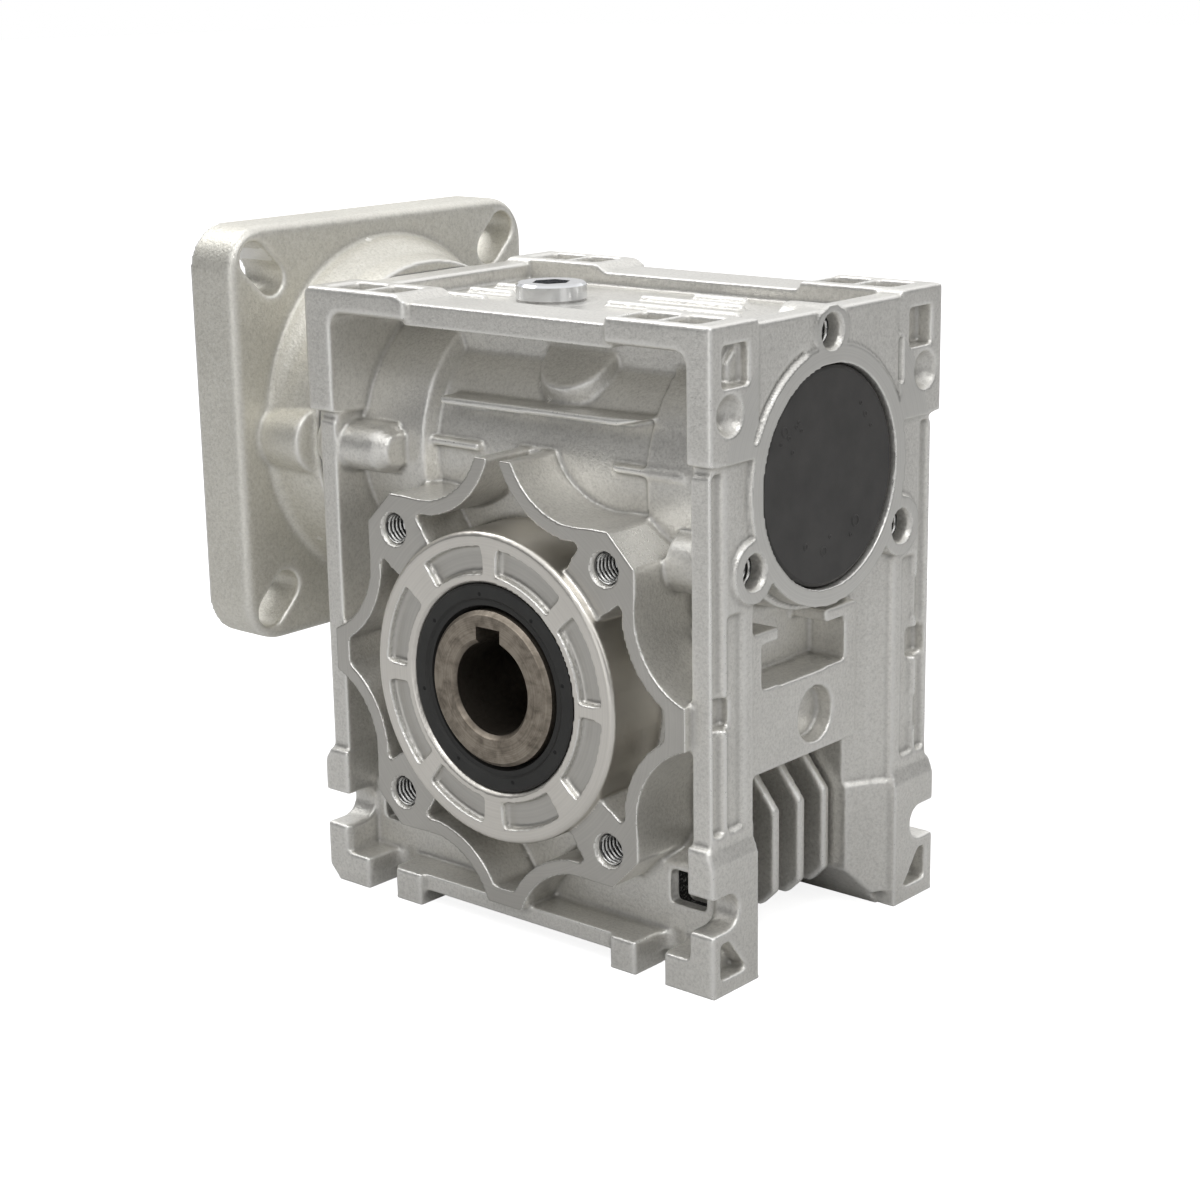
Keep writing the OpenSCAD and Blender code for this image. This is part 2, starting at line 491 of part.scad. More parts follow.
// ---------- wheel and hollow shaft ----------
module hollow_shaft() color([0.42, 0.38, 0.35]) difference() {
    union() {
        turn_y() polygon([[0, -hub_y], [14.2, -hub_y], [15, -hub_y + 0.8], [15, -17], [17.5, -17], [17.5, -9], [22, -9], [22, -3], [22.8, -3], [22.8, 3], [22, 3], [22, 9], [17.5, 9], [17.5, 17], [15, 17], [15, hub_y - 0.8], [14.2, hub_y], [0, hub_y]]);
    }
    ycyl(out_bore_d / 2, -hub_y - 1, hub_y + 1);
    ycone(out_bore_d / 2 + 0.8, out_bore_d / 2, -hub_y - 0.02, -hub_y + 0.8);
    ycone(out_bore_d / 2, out_bore_d / 2 + 0.8, hub_y - 0.8, hub_y + 0.02);
    box(-out_key_w / 2, out_key_w / 2, -hub_y - 1, hub_y + 1, 0, out_bore_d / 2 + 2.8);
}
// involute flank of the wheel
base_r = pitch_r * cos(20);
function inv(r) = let (c = base_r / r, a = acos(c)) tan(a) * 180 / PI - a;
half_t = (PI * gear_m / 2 - backlash / 2) / 2 / pitch_r * 180 / PI;
function flank(r) = half_t + inv(pitch_r) - inv(max(r, base_r + 0.01));
tip_r = pitch_r + gear_m;
root_r = pitch_r - 1.2 * gear_m;
tooth_rs = [root_r - 0.5, base_r + 0.1, 29.2, 30.2, 31.2, tip_r];
module tooth2d() polygon(concat(
    [for (r = tooth_rs) [-r * sin(flank(r)), r * cos(flank(r))]],
    [for (i = [len(tooth_rs) - 1:-1:0]) let (r = tooth_rs[i]) [r * sin(flank(r)), r * cos(flank(r))]]));
module worm_wheel() color([0.72, 0.55, 0.28]) difference() {
    union() {
        ycyl(root_r, -wheel_w / 2, wheel_w / 2);
        intersection() {
            for (i = [0:wheel_z - 1]) rotate([0, (i + 0.5) * 360 / wheel_z, 0])
                rotate([0, 0, -lead_a]) xz(-wheel_w / 2 - 0.6, wheel_w / 2 + 0.6) tooth2d();
            ycyl(tip_r, -wheel_w / 2, wheel_w / 2);
        }
    }
    ycyl(22, -20, 20);
    turn_y() translate([21, -3]) square([1.8, 6]);
}

// ---------- oil plug ----------
module oil_plug() color([0.8, 0.81, 0.83]) translate([-17.3, 0, 0]) difference() {
    union() {
        translate([0, 0, 59]) cylinder(r = 4.15, h = 9);
        translate([0, 0, 67.6]) cylinder(r = 7, h = 2.6);
        translate([0, 0, 70.2]) cylinder(r1 = 7, r2 = 6.5, h = 0.5);
    }
    translate([0, 0, 66.2]) cylinder(r = 3.9, h = 6, $fn = 6);
}
module plug_washer() color([0.75, 0.75, 0.76]) translate([-17.3, 0, 67.2]) difference() {
    cylinder(r = 6.7, h = 0.4);
    translate([0, 0, -1]) cylinder(r = 4.2, h = 3);
}

housing();
output_cover();
cover_o_ring();
cover_screws();
motor_flange();
flange_gasket();
flange_screws();
worm_shaft();
input_bearing_outer();
input_bearing_inner();
input_bearing_balls();
input_bearing_cage();
input_seal();
rear_bearing_outer();
rear_bearing_inner();
rear_bearing_balls();
rear_bearing_cage();
worm_circlip();
bore_circlip();
end_cap();
hollow_shaft();
worm_wheel();
front_bearing_outer();
front_bearing_inner();
front_bearing_balls();
front_bearing_cage();
back_bearing_outer();
back_bearing_inner();
back_bearing_balls();
back_bearing_cage();
front_seal();
back_seal();
oil_plug();
plug_washer();
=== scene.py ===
import bpy
import math
import numpy as np
from mathutils import Matrix, Vector


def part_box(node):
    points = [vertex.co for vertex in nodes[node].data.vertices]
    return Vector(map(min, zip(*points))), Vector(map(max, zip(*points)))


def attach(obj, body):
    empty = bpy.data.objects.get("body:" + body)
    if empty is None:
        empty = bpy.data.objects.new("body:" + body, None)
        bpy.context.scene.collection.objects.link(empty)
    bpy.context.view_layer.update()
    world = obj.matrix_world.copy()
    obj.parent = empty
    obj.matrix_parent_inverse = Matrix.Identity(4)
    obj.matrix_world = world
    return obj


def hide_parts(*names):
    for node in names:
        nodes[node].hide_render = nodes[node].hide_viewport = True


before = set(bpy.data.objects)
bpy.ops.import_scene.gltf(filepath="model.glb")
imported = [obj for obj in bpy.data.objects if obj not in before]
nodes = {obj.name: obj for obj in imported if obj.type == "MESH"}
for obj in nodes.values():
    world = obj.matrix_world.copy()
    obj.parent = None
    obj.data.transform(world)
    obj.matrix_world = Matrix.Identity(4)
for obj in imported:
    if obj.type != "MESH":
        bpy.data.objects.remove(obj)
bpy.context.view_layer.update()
MM = 0.001
WZ = 40.0
scene = bpy.context.scene


# ---------------------------------------------------------------- camera
def make_camera():
    az, el, roll = math.radians(40.919), math.radians(14.659), math.radians(-0.978)
    focal = 2407.22
    back = Vector((math.sin(az) * math.cos(el), -math.cos(az) * math.cos(el), math.sin(el)))
    right0 = Vector((math.cos(az), math.sin(az), 0))
    up0 = back.cross(right0)
    right = right0 * math.cos(roll) + up0 * math.sin(roll)
    up = -right0 * math.sin(roll) + up0 * math.cos(roll)
    cam = bpy.data.cameras.new("camera")
    cam.sensor_width = 36
    cam.lens = focal * 36 / 1200
    cam.clip_start, cam.clip_end = 0.02, 20
    ob = bpy.data.objects.new("camera", cam)
    scene.collection.objects.link(ob)
    eye = Vector(EYE)
    m = Matrix.Identity(4)
    for i, v in enumerate((right, up, back)):
        for j in range(3):
            m[j][i] = v[j]
    for j in range(3):
        m[j][3] = eye[j]
    ob.matrix_world = m
    scene.camera = ob
    return ob


EYE = (0.29730, -0.35000, 0.12934)
make_camera()


# ---------------------------------------------------------------- materials
class Nodes:
    """Small helper to wire a procedural material."""

    def __init__(self, name):
        self.mat = bpy.data.materials.new(name)
        self.mat.use_nodes = True
        self.t = self.mat.node_tree
        self.t.nodes.clear()
        self.out = self.t.nodes.new("ShaderNodeOutputMaterial")
        self.bsdf = self.t.nodes.new("ShaderNodeBsdfPrincipled")
        self.t.links.new(self.bsdf.outputs[0], self.out.inputs[0])
        tc = self.t.nodes.new("ShaderNodeTexCoord")
        sc = self.t.nodes.new("ShaderNodeVectorMath")
        sc.operation = "SCALE"
        sc.inputs["Scale"].default_value = 1000.0
        self.t.links.new(tc.outputs["Object"], sc.inputs[0])
        self.mm = sc.outputs[0]          # position in millimetres

    def link(self, a, b):
        self.t.links.new(a, b)

    def noise(self, scale, detail=2.0, rough=0.5, vec=None, distortion=0.0):
        n = self.t.nodes.new("ShaderNodeTexNoise")
        n.inputs["Scale"].default_value = scale
        n.inputs["Detail"].default_value = detail
        n.inputs["Roughness"].default_value = rough
        n.inputs["Distortion"].default_value = distortion
        self.link(vec or self.mm, n.inputs["Vector"])
        return n.outputs["Fac"]

    def ramp(self, fac, stops):
        n = self.t.nodes.new("ShaderNodeValToRGB")
        cr = n.color_ramp
        while len(cr.elements) < len(stops):
            cr.elements.new(0.5)
        for e, (p, c) in zip(cr.elements, stops):
            e.position = p
            e.color = (c, c, c, 1) if isinstance(c, (int, float)) else (*c, 1)
        self.link(fac, n.inputs[0])
        return n.outputs[0]

    def math(self, op, a, b=None, c=None):
        n = self.t.nodes.new("ShaderNodeMath")
        n.operation = op
        for i, v in enumerate((a, b, c)):
            if v is None:
                continue
            if isinstance(v, (int, float)):
                n.inputs[i].default_value = v
            else:
                self.link(v, n.inputs[i])
        return n.outputs[0]

    def mix(self, fac, a, b):
        n = self.t.nodes.new("ShaderNodeMix")
        n.data_type = "RGBA"
        for s, v in ((n.inputs[0], fac), (n.inputs[6], a), (n.inputs[7], b)):
            if isinstance(v, (int, float)):
                s.default_value = v
            elif isinstance(v, tuple):
                s.default_value = (*v, 1)
            else:
                self.link(v, s)
        return n.outputs[2]

    def axis(self, x=None, y=None, z=None):
        """Distance from an axis along x, y or z through the point with the other two coordinates given."""
        n = self.t.nodes.new("ShaderNodeSeparateXYZ")
        self.link(self.mm, n.inputs[0])
        terms = []
        for v, o in ((x, n.outputs[0]), (y, n.outputs[1]), (z, n.outputs[2])):
            if v is not None:
                d = self.math("SUBTRACT", o, v)
                terms.append(self.math("MULTIPLY", d, d))
        return self.math("SQRT", self.math("ADD", terms[0], terms[1]))

    def bump(self, height, strength, distance_mm, normal=None):
        n = self.t.nodes.new("ShaderNodeBump")
        n.inputs["Strength"].default_value = strength
        n.inputs["Distance"].default_value = distance_mm * MM
        self.link(height, n.inputs["Height"])
        if normal is not None:
            self.link(normal, n.inputs["Normal"])
        return n.outputs[0]

    def bevel(self, radius_mm, samples=4):
        n = self.t.nodes.new("ShaderNodeBevel")
        n.samples = samples
        n.inputs["Radius"].default_value = radius_mm * MM
        return n.outputs[0]

    def set(self, **kw):
        for k, v in kw.items():
            s = self.bsdf.inputs[k.replace("_", " ")]
            if isinstance(v, (int, float)):
                s.default_value = v
            elif isinstance(v, tuple):
                s.default_value = (*v, 1)
            else:
                self.link(v, s)
        return self


def cast_metal(name, light, dark, rough=0.40, grain=0.35, metal=0.78):
    """Shot-blasted die-cast aluminium: fine even grain, faint flow marks and a few darker rubs."""
    n = Nodes(name)
    cloud = n.noise(0.045, 4, 0.6)
    fine = n.noise(1.7, 3, 0.7)
    speck = n.noise(1.1, 3, 0.7)
    col = n.mix(n.ramp(cloud, [(0.3, 0.0), (0.7, 1.0)]), dark, light)
    col = n.mix(n.ramp(fine, [(0.34, 0.32), (0.5, 0.0)]), col, tuple(c * 0.6 for c in dark))
    col = n.mix(n.ramp(fine, [(0.52, 0.0), (0.68, 0.4)]), col, (0.97, 0.96, 0.93))
    col = n.mix(n.ramp(speck, [(0.36, 0.24), (0.5, 0.0)]), col, tuple(c * 0.78 for c in dark))
    # edges brightened from pointiness, partly rubbed bright by tumbling and partly a painted highlight; inner corners
    # darkened as painted shade
    curve = n.t.nodes.new("ShaderNodeNewGeometry").outputs["Pointiness"]
    rub_and_edge_highlight = n.ramp(curve, [(0.505, 0.0), (0.545, 0.8)])
    crease_painted_shade = n.ramp(curve, [(0.455, 0.75), (0.497, 0.0)])
    col = n.mix(crease_painted_shade, col, tuple(c * 0.42 for c in dark))
    col = n.mix(rub_and_edge_highlight, col, (0.96, 0.95, 0.92))
    r = n.math("ADD", n.math("MULTIPLY", fine, 0.20), rough - 0.10)
    r = n.math("ADD", r, n.math("MULTIPLY", cloud, 0.06))
    r = n.math("SUBTRACT", r, n.math("MULTIPLY", rub_and_edge_highlight, 0.08))
    h = n.math("ADD", n.math("MULTIPLY", fine, 0.7), n.math("MULTIPLY", n.noise(0.7, 3, 0.6), 0.5))
    b = n.bump(h, grain, 0.16)
    n.set(Base_Color=col, Metallic=metal, Roughness=r, Normal=b)
    n.bsdf.inputs["Specular IOR Level"].default_value = 0.5
    return n.mat


def machined(name, base, axis, rough=0.3, pitch=2.2):
    """Turned or milled aluminium or steel: fine concentric lines about an axis."""
    n = Nodes(name)
    rad = n.axis(**axis)
    line = n.t.nodes.new("ShaderNodeTexNoise")
    line.noise_dimensions = "1D"
    line.inputs["Scale"].default_value = pitch
    line.inputs["Detail"].default_value = 4
    n.link(rad, line.inputs["W"])
    cloud = n.noise(0.06, 3, 0.6)
    col = n.mix(n.ramp(line.outputs["Fac"], [(0.35, 0.0), (0.65, 1.0)]), tuple(c * 0.94 for c in base), base)
    col = n.mix(n.ramp(cloud, [(0.35, 0.16), (0.6, 0.0)]), col, tuple(c * 0.7 for c in base))
    r = n.math("ADD", n.math("MULTIPLY", n.noise(0.3, 3, 0.6), 0.12), rough - 0.05)
    b = n.bump(line.outputs["Fac"], 0.12, 0.03)
    n.set(Base_Color=col, Metallic=1.0, Roughness=r, Normal=b)
    return n.mat


def steel(name, base, axis, rough=0.35, stain=(0.1, 0.07, 0.05), stain_amount=0.35, bore=None):
    n = Nodes(name)
    rad = n.axis(**axis)
    line = n.t.nodes.new("ShaderNodeTexNoise")
    line.noise_dimensions = "1D"
    line.inputs["Scale"].default_value = 3.0
    line.inputs["Detail"].default_value = 3
    n.link(rad, line.inputs["W"])
    blot = n.noise(0.35, 4, 0.65, distortion=0.4)
    col = n.mix(n.ramp(line.outputs["Fac"], [(0.35, 0.0), (0.65, 1.0)]), tuple(c * 0.8 for c in base), base)
    col = n.mix(n.ramp(blot, [(0.42, 0.0), (0.7, stain_amount)]), col, stain)
    if bore:
        # painted shade: inside the bore radius the colour is darkened towards black
        inside = n.ramp(n.math("MULTIPLY", rad, 0.5 / bore), [(0.50, 0.55), (0.53, 0.0)])
        col = n.mix(inside, col, (0.03, 0.025, 0.022))
    r = n.math("ADD", n.math("MULTIPLY", blot, 0.3), rough - 0.1)
    b = n.bump(line.outputs["Fac"], 0.3, 0.04)
    n.set(Base_Color=col, Metallic=0.95, Roughness=r, Normal=b)
    return n.mat


def rubber(name, base, rough=0.5, grain=0.2):
    n = Nodes(name)
    fine = n.noise(3.0, 2, 0.6)
    cloud = n.noise(0.12, 4, 0.6)
    col = n.mix(n.ramp(cloud, [(0.3, 0.0), (0.7, 1.0)]), tuple(c * 0.75 for c in base), tuple(min(1, c * 1.25) for c in base))
    r = n.math("ADD", n.math("MULTIPLY", cloud, 0.18), rough - 0.09)
    b = n.bump(n.math("ADD", fine, n.math("MULTIPLY", cloud, 0.5)), grain, 0.05)
    n.set(Base_Color=col, Roughness=r, Normal=b)
    n.bsdf.inputs["Specular IOR Level"].default_value = 0.45
    return n.mat


OUT = dict(x=0.0, z=0.0)
WORM = dict(y=0.0, z=WZ)
PLUG = dict(x=-17.3, y=0.0)
M_CAST = cast_metal("cast_aluminium", (0.86, 0.846, 0.803), (0.755, 0.741, 0.703), rough=0.33, grain=0.95)
M_FLANGE = cast_metal("flange_aluminium", (0.87, 0.85, 0.775), (0.77, 0.75, 0.68), rough=0.42, grain=0.9, metal=0.78)
M_PAD = machined("machined_pad", (0.60, 0.585, 0.55), OUT, rough=0.36)
M_RING = machined("machined_ring", (0.84, 0.81, 0.755), OUT, rough=0.33)
M_CAPRIM = machined("machined_cap_rim", (0.80, 0.79, 0.755), WORM, rough=0.38)
M_HUB = steel("hub_steel", (0.40, 0.35, 0.29), OUT, rough=0.40, stain=(0.07, 0.055, 0.04), stain_amount=0.6, bore=9.0)
M_BEAR = machined("bearing_steel", (0.75, 0.76, 0.78), OUT, rough=0.18)
M_WORM = steel("worm_steel", (0.5, 0.5, 0.51), WORM, rough=0.28, stain_amount=0.1)
M_BRONZE = steel("wheel_bronze", (0.62, 0.42, 0.17), OUT, rough=0.3, stain=(0.3, 0.17, 0.06), stain_amount=0.3)
M_SEAL = rubber("seal_rubber", (0.025, 0.025, 0.0235), rough=0.52)
M_CAP = rubber("cap_rubber", (0.046, 0.044, 0.042), rough=0.40, grain=0.3)
M_ZINC = machined("zinc_plating", (0.84, 0.85, 0.87), PLUG, rough=0.16, pitch=4.0)
M_DOT = rubber("dot_rubber", (0.004, 0.004, 0.004), rough=0.7, grain=0.05)
M_GASKET = rubber("gasket_sheet", (0.30, 0.295, 0.28), rough=0.7)
M_WASHER = steel("plated_washer", (0.6, 0.6, 0.6), PLUG, rough=0.3)
M_SCREW = steel("screw_steel", (0.3, 0.3, 0.31), OUT, rough=0.32, stain_amount=0.2)


def put(node, mat):
    o = nodes[node]
    o.data.materials.clear()
    o.data.materials.append(mat)


for n_, m_ in {
    "cover_o_ring": M_SEAL, "cover_screws": M_SCREW, "flange_gasket": M_GASKET, "flange_screws": M_SCREW,
    "worm_shaft": M_WORM, "input_seal": M_SEAL, "worm_circlip": M_SCREW, "bore_circlip": M_SCREW,
    "end_cap": M_CAP, "hollow_shaft": M_HUB, "worm_wheel": M_BRONZE, "front_seal": M_SEAL, "back_seal": M_SEAL,
    "oil_plug": M_ZINC, "plug_washer": M_WASHER, "housing": M_CAST, "output_cover": M_CAST, "motor_flange": M_FLANGE,
}.items():
    put(n_, m_)
for b_ in ("input", "rear", "front", "back"):
    for k_ in ("outer", "inner", "balls", "cage"):
        put(f"{b_}_bearing_{k_}", M_BEAR)


# ---------------------------------------------------------------- castings
def edges_of(me):
    e = np.empty(len(me.edges) * 2, dtype=np.int32)
    me.edges.foreach_get("vertices", e)
    return e.reshape(-1, 2)


def relax(co, e, w, steps, lam=0.5):
    """Weighted Laplacian smoothing: w is 0 where a face is machined and 1 where it is as cast."""
    n = len(co)
    deg = np.bincount(e.ravel(), minlength=n).astype(np.float64)
    deg[deg == 0] = 1
    for _ in range(steps):
        acc = np.empty_like(co)
        for k in range(3):
            acc[:, k] = (np.bincount(e[:, 0], weights=co[e[:, 1], k], minlength=n)
                         + np.bincount(e[:, 1], weights=co[e[:, 0], k], minlength=n))
        acc /= deg[:, None]
        co = co + (acc - co) * (lam * w)[:, None]
    return co


def soften(co, e, w, steps, axes):
    """Laplacian smoothing limited to some axes, for the round corners of pockets."""
    keep = co.copy()
    co = relax(co, e, w, steps)
    for k in range(3):
        if k not in axes:
            co[:, k] = keep[:, k]
    return co


def flat(co, ax, at, tol, where=None):
    """Brings what lies close to a machined plane exactly onto it."""
    m = np.abs(co[:, ax] - at) < tol
    if where is not None:
        m &= where
    co[m, ax] = at
    return co


def pocket_corners(co, side):
    """1 at the upright corners of the star's pockets, falling to 0 at 3 mm from them."""
    x, y, z = co.T
    w = np.zeros(len(co))
    for k in range(4):
        for sgn in (-1, 1):
            for r, off in ((36.77, 10.6), (30.0, 10.6)):
                a = math.radians(45 + 90 * k + sgn * off)
                d = np.hypot(x - r * math.cos(a), z - r * math.sin(a))
                w = np.maximum(w, np.clip((3.2 - d) / 1.6, 0, 1))
    w[np.hypot(x, z) < 30.15] = 0
    for c in HOLES:
        w[np.hypot(x - c[0], z - c[1]) < 4.3] = 0
    w[side * y < 25.0] = 0
    return w


def casting(node, name, voxel, radius, weight, mats, pick, shape=None, corners=None):
    """A casting made from the CAD node: fine even mesh, fillets as cast, machined faces kept flat and sharp."""
    src = nodes[node]
    tmp = bpy.data.objects.new("tmp_" + name, src.data.copy())
    scene.collection.objects.link(tmp)
    mod = tmp.modifiers.new("remesh", "REMESH")
    mod.mode = "VOXEL"
    mod.voxel_size = voxel * MM
    dg = bpy.context.evaluated_depsgraph_get()
    me = bpy.data.meshes.new_from_object(tmp.evaluated_get(dg))
    old = tmp.data
    bpy.data.objects.remove(tmp)
    bpy.data.meshes.remove(old)
    me.name = name
    n = len(me.vertices)
    co = np.empty(n * 3)
    me.vertices.foreach_get("co", co)
    co = co.reshape(-1, 3) / MM
    lo, hi = co.min(0), co.max(0)
    e = edges_of(me)
    w = weight(co)
    steps = max(2, int(round((radius / voxel) ** 2 * 3.0)))
    co = relax(co, e, w, steps)
    if corners:
        co = soften(co, e, corners(co), int(14 * (0.45 / voxel) ** 2) + 2, (0, 2))
    if shape:
        co = shape(co)
    a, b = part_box(node)
    co = np.clip(co, np.array(a) / MM, np.array(b) / MM)
    me.vertices.foreach_set("co", (co * MM).ravel())
    me.update()
    me.materials.clear()
    for m in mats:
        me.materials.append(m)
    pc = np.empty(len(me.polygons) * 3)
    pn = np.empty(len(me.polygons) * 3)
    me.polygons.foreach_get("center", pc)
    me.polygons.foreach_get("normal", pn)
    idx = pick(pc.reshape(-1, 3) / MM, pn.reshape(-1, 3)).astype(np.int32)
    me.polygons.foreach_set("material_index", idx)
    me.polygons.foreach_set("use_smooth", np.ones(len(me.polygons), dtype=bool))
    o = bpy.data.objects.new(name, me)
    scene.collection.objects.link(o)
    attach(o, "gearbox")
    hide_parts(node)
    return o


def near(v, at, tol=0.25):
    return np.abs(v - at) < tol


HOLES = [(37.5 * math.cos(math.radians(a)), 37.5 * math.sin(math.radians(a))) for a in (45, 135, 225, 315)]
CAP_HOLES = [(26.5 * math.cos(math.radians(a)), WZ + 26.5 * math.sin(math.radians(a))) for a in (90, 210, 330)]


def widen(co, ax, centres, inside, r0=2.5, r1=3.02, rmax=4.5):
    """Opens the tapped holes to the thread's outer diameter; the thread itself is a piece of its own."""
    u, v = [k for k in range(3) if k != ax]
    for c in centres:
        du, dv = co[:, u] - c[0], co[:, v] - c[1]
        r = np.hypot(du, dv)
        m = (r < rmax) & (r > 0.6) & inside(co)
        f = np.ones_like(r)
        f[m] = np.interp(r[m], [0.6, r0, rmax], [0.6, r1, rmax]) / r[m]
        co[:, u] = c[0] + du * f
        co[:, v] = c[1] + dv * f
    return co


def housing_weight(co):
    x, y, z = co.T
    r_out = np.hypot(x, z)
    r_worm = np.hypot(y, z - WZ)
    w = np.ones(len(co))
    w[y < -36.0] = 0.12
    w[(y < -38.2)] = 0.06
    w[(r_out > 28.9) & (r_out < 30.35) & (y < -24.0)] = 0.06
    w[(r_out < 33.9) & (np.abs(y) < 17.6)] = 0
    w[(r_out < 27.9) & (y > -30.4)] = 0
    w[(r_out < 20.6)] = 0
    w[(r_worm < 24.6) & (x > 43)] = 0.05
    w[(r_worm < 23.9) & (x < -30.6) & (x > -51)] = 0.05
    w[(r_worm < 17.3)] = 0
    w[(x > 49.75) & (r_worm < 32)] = 0.10
    w[(z < -49.6)] = 0.1
    for c in HOLES:
        w[(np.hypot(x - c[0], z - c[1]) < 3.6) & (y < -26.5)] = 0
    for c in CAP_HOLES:
        w[(np.hypot(y - c[0], z - c[1]) < 3.6) & (x > 37)] = 0
    return w


def housing_pick(c, n):
    x, y, z = c.T
    k = np.zeros(len(c))
    r_out, r_worm = np.hypot(x, z), np.hypot(y, z - WZ)
    k[(y < -36.2) & (n[:, 1] < -0.6)] = 1
    k[(y < -38.5) & (r_out < 30.3) & (r_out > 19)] = 2
    k[(y < -25.0) & (r_out > 29.3) & (r_out < 30.2)] = 2
    k[(y < -36.7) & (r_out < 21.6)] = 2
    k[(x > 49.8) & (n[:, 0] > 0.6) & (r_worm < 32)] = 3
    k[(r_out < 27.9) & (y > -30.4) & (y < 0)] = 1
    k[(r_out < 33.7) & (np.abs(y) < 16)] = 1
    # faces in the deep cavity behind each lower window get slot 4, a near-black painted shade
    k[(np.abs(x) > 30.6) & (np.abs(x) < 44.4) & (y > -24.6) & (y < -18.4) & (z > -40.8)
      & (z < -30.0 + (y + 24.2) * 0.654)] = 4
    return k


def housing_shape(co):
    co = widen(co, 1, HOLES, lambda c: c[:, 1] < -26.8)
    co = widen(co, 0, CAP_HOLES, lambda c: c[:, 0] > 37.8)
    r_out, r_worm = np.hypot(co[:, 0], co[:, 2]), np.hypot(co[:, 1], co[:, 2] - WZ)
    flat(co, 1, -36.5, 0.28, r_out > 30.5)
    flat(co, 1, -38.7, 0.25, r_out < 29.25)
    flat(co, 0, 50.0, 0.22, r_worm < 32.2)
    flat(co, 2, -50.0, 0.25)
    return co


VOX = 0.45
# near-black material: painted shade for the deep window cavities
M_CAVITY_SHADE = cast_metal("cast_cavity_shade", (0.05, 0.048, 0.045), (0.03, 0.03, 0.028), rough=0.7, grain=0.3)
housing = casting("housing", "housing_casting", VOX, 0.52, housing_weight, [M_CAST, M_PAD, M_RING, M_CAPRIM, M_CAVITY_SHADE], housing_pick, housing_shape,
                  lambda co: pocket_corners(co, -1))


def cover_weight(co):
    x, y, z = co.T
    w = np.ones(len(co))
    w[y > 36.0] = 0.12
    w[y > 38.2] = 0.06
    w[(np.hypot(x, z) > 28.9) & (np.hypot(x, z) < 30.35) & (y > 30.0)] = 0.06
    w[(np.hypot(x, z) < 27.9) & (y < 30.5)] = 0
    w[np.hypot(x, z) < 20.6] = 0
    w[y < 28.3] = 0.05
    for c in HOLES:
        w[np.hypot(x - c[0], z - c[1]) < 3.6] = 0
    return w


def cover_pick(c, n):
    x, y, z = c.T
    k = np.zeros(len(c))
    r_out = np.hypot(x, z)
    k[(y > 36.2) & (n[:, 1] > 0.6)] = 1
    k[(y > 38.5) & (r_out < 30.3)] = 2
    k[(y > 36.7) & (r_out < 21.6)] = 2
    k[(y > 31.2) & (r_out > 29.3) & (r_out < 30.2)] = 2
    k[y < 28.4] = 1
    return k


def cover_shape(co):
    co = widen(co, 1, HOLES, lambda c: c[:, 1] > 27)
    flat(co, 1, 36.5, 0.28, np.hypot(co[:, 0], co[:, 2]) > 30.5)
    flat(co, 1, 38.7, 0.25, np.hypot(co[:, 0], co[:, 2]) < 29.25)
    return co


cover = casting("output_cover", "cover_casting", VOX, 0.52, cover_weight, [M_CAST, M_PAD, M_RING], cover_pick,
                cover_shape, lambda co: pocket_corners(co, 1))


def flange_weight(co):
    x, y, z = co.T
    w = np.ones(len(co))
    r = np.hypot(y, z - WZ)
    w[x < -74.9] = 0.08
    w[(r < 35.3) & (x < -69)] = 0.05
    w[x > -51.3] = 0.05
    return w


def flange_pick(c, n):
    x = c[:, 0]
    k = np.zeros(len(c))
    k[(x < -75.0)] = 1
    return k


M_FACE = machined("machined_flange", (0.8, 0.79, 0.77), WORM, rough=0.3)
flange = casting("motor_flange", "flange_casting", VOX, 0.9, flange_weight, [M_FLANGE, M_FACE], flange_pick,
                 lambda co: flat(co, 0, -75.2, 0.25))


# ---------------------------------------------------------------- threads in the tapped holes
def new_mesh(name, verts, faces, mat, smooth=True):
    me = bpy.data.meshes.new(name)
    me.from_pydata([tuple(c * MM for c in v) for v in verts], [], faces)
    me.materials.append(mat)
    me.update()
    if smooth:
        me.polygons.foreach_set("use_smooth", [True] * len(me.polygons))
    o = bpy.data.objects.new(name, me)
    scene.collection.objects.link(o)
    return o


def thread_lining(name, centres, depth0, depth1, frame_of, mat):
    """Inside of M6 threads, pitch 1 mm: a ridged lining, one helix for each hole; the groove faces get a dark
    material as painted shade.
    """
    seg, per = 40, 8
    prof = [2.98, 2.94, 2.78, 2.62, 2.52, 2.62, 2.78, 2.94]
    verts, faces, root_shade_index = [], [], []
    for c in centres:
        base = len(verts)
        rows = int((depth1 - depth0) * per)
        for i in range(rows + 1):
            for j in range(seg):
                a = 2 * math.pi * j / seg
                ph = (i - per * j / seg) % per
                k = int(ph)
                r = prof[k] * (1 - (ph - k)) + prof[(k + 1) % per] * (ph - k)
                verts.append(frame_of(c, r * math.cos(a), r * math.sin(a), depth0 + i / per))
        for i in range(rows):
            for j in range(seg):
                k = (j + 1) % seg
                faces.append((base + i * seg + j, base + i * seg + k, base + (i + 1) * seg + k, base + (i + 1) * seg + j))
                # groove faces take slot 1, the dark painted shade
                root_shade_index.append(0 if 2.0 <= (i + 0.5 - per * (j + 0.5) / seg) % per <= 6.0 else 1)
    o = new_mesh(name, verts, faces, mat)
    o.data.materials.append(M_ROOT_SHADE)
    o.data.polygons.foreach_set("material_index", root_shade_index)
    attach(o, "gearbox")
    return o


M_THREAD = cast_metal("tapped_thread", (0.85, 0.85, 0.83), (0.7, 0.7, 0.69), rough=0.22, grain=0.1)
